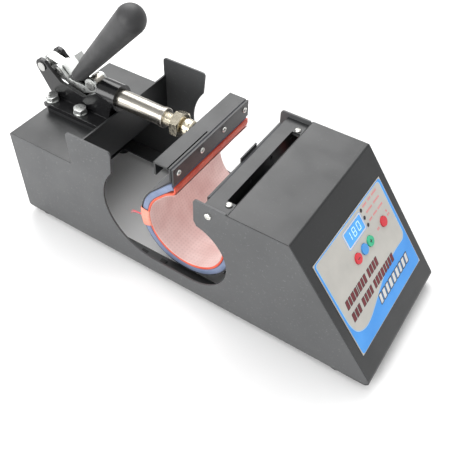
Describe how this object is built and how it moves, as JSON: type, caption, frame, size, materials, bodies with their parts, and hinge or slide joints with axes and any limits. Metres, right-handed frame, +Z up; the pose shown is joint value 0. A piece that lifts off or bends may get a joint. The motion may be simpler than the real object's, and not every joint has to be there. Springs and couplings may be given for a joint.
{
  "type": "mug heat press",
  "caption": "Bench heat press for mugs: folded steel body, wrap-round heater, sloping control panel and push-pull toggle clamp with a long handle.",
  "frame": {"origin": "centre of the footprint at the level of the soles of the feet", "axes": "+X from the toggle clamp to the control panel, +Y across the machine along the mug's axis, +Z up"},
  "size_m": [0.4474, 0.1648, 0.2599],
  "materials": {
    "black_coat": "satin powder coat",
    "clamp_black": "gloss stoved black",
    "zinc_plate": "bright zinc plate",
    "pin_steel": "turned steel",
    "polished_steel": "polished and hard chromed",
    "nickel_plate": "nickel plated, slightly warm",
    "grip_rubber": "moulded, matte",
    "screw_steel": "bright zinc plate",
    "black_rubber": "matte",
    "band_fabric": "coated webbing",
    "sponge_silicone": "closed-cell silicone sponge",
    "mat_silicone": "fibre-reinforced silicone",
    "liner_cloth": "coated glass cloth",
    "panel_film": "printed polycarbonate film",
    "display_glass": "tinted window",
    "led_lens": "unlit lens",
    "key_red": "moulded",
    "key_blue": "moulded",
    "key_green": "moulded",
    "board_laminate": "solder mask",
    "component_plastic": "moulded",
    "transformer_steel": "varnished laminations",
    "sensor_steel": "steel sheath",
    "entry_plastic": "moulded nylon",
    "rocker_plastic": "moulded",
    "cable_jacket": "PVC jacket",
    "clip_nylon": "natural nylon",
    "lead_silicone": "white silicone sleeve"
  },
  "bodies": {
    "root": {"base_screws": "screw_steel", "board_standoffs": "component_plastic", "clamp_base": "clamp_black", "clamp_bolts": "zinc_plate", "clamp_crossmember": "black_coat", "clamp_nuts_and_washers": "zinc_plate", "clamp_spacer": "black_coat", "control_board": "board_laminate", "control_box_baffle": "black_coat", "control_box_base": "black_coat", "crossbar_screws": "screw_steel", "display_module": "display_glass", "feet": "black_rubber", "front_clamp_strip": "black_coat", "front_cover": "black_coat", "front_crossbar": "black_coat", "front_strip_screws": "screw_steel", "grommets": "black_rubber", "harness_clips": "clip_nylon", "heater_leads": "lead_silicone", "heating_mat": "mat_silicone", "indicator_leds": "led_lens", "mains_harness": "cable_jacket", "mains_inlet": "entry_plastic", "panel_label": "panel_film", "pivot_pin": "pin_steel", "pivot_spacers": "pin_steel", "power_switch": "entry_plastic", "rear_cover": "black_coat", "side_plate_far": "black_coat", "side_plate_near": "black_coat", "solid_state_relay": "component_plastic", "tact_switches": "component_plastic", "temperature_sensor": "sensor_steel", "terminal_block": "component_plastic", "transformer": "transformer_steel", "wrap_band": "band_fabric", "wrap_liner": "liner_cloth", "wrap_rest": "black_coat", "wrap_sponge": "sponge_silicone"},
    "handle": {"handle_lever": "zinc_plate", "grip": "grip_rubber", "lever_pin": "pin_steel"},
    "link": {"toggle_link_near": "zinc_plate", "toggle_link_far": "zinc_plate", "link_rivets": "pin_steel"},
    "jaw": {"plunger": "polished_steel", "plunger_pin": "pin_steel", "spindle": "nickel_plate", "lock_nut": "nickel_plate", "spindle_head": "nickel_plate", "jaw_bolt": "pin_steel", "rear_jaw_bar": "black_coat", "rear_clamp_strip": "black_coat", "rear_strip_screws": "screw_steel"},
    "key_down": {"button_down": "key_red"},
    "key_set": {"button_set": "key_blue"},
    "key_up": {"button_up": "key_green"},
    "key_power": {"button_power": "key_red"},
    "rocker": {"power_rocker": "rocker_plastic"}
  },
  "joints": [
    {"name": "handle_swing", "type": "hinge", "parent": "root", "child": "handle", "pos_m": [-0.21522, 0, 0.159], "axis": [0, 1, 0], "range_deg": [-105, 0]},
    {"name": "link_swing", "type": "hinge", "parent": "handle", "child": "link", "pos_m": [-0.19822, 0, 0.1555], "axis": [0, 1, 0], "range_deg": [0, 133.15]},
    {"name": "plunger_slide", "type": "slide", "parent": "root", "child": "jaw", "axis": [1, 0, 0], "range_m": [-0.02344, 0], "deforming": ["wrap_band", "wrap_sponge", "heating_mat", "wrap_liner"]},
    {"name": "down_press", "type": "slide", "parent": "root", "child": "key_down", "axis": [0.7979, 0, 0.6028], "range_m": [-0.0007, 0], "stiffness_N_per_m": 600, "springref_m": 0.0006},
    {"name": "set_press", "type": "slide", "parent": "root", "child": "key_set", "axis": [0.7979, 0, 0.6028], "range_m": [-0.0007, 0], "stiffness_N_per_m": 600, "springref_m": 0.0006},
    {"name": "up_press", "type": "slide", "parent": "root", "child": "key_up", "axis": [0.7979, 0, 0.6028], "range_m": [-0.0007, 0], "stiffness_N_per_m": 600, "springref_m": 0.0006},
    {"name": "power_press", "type": "slide", "parent": "root", "child": "key_power", "axis": [0.7979, 0, 0.6028], "range_m": [-0.0007, 0], "stiffness_N_per_m": 600, "springref_m": 0.0006},
    {"name": "rocker_tip", "type": "hinge", "parent": "root", "child": "rocker", "pos_m": [-0.20822, 0.008, 0.048], "axis": [0, 1, 0], "range_deg": [-20, 0]}
  ],
  "couplings": [
    {"joint": "link_swing", "follows": "handle_swing", "ratio": -1.2633},
    {"joint": "plunger_slide", "follows": "handle_swing", "m_per_rad": 0.012764}
  ]
}
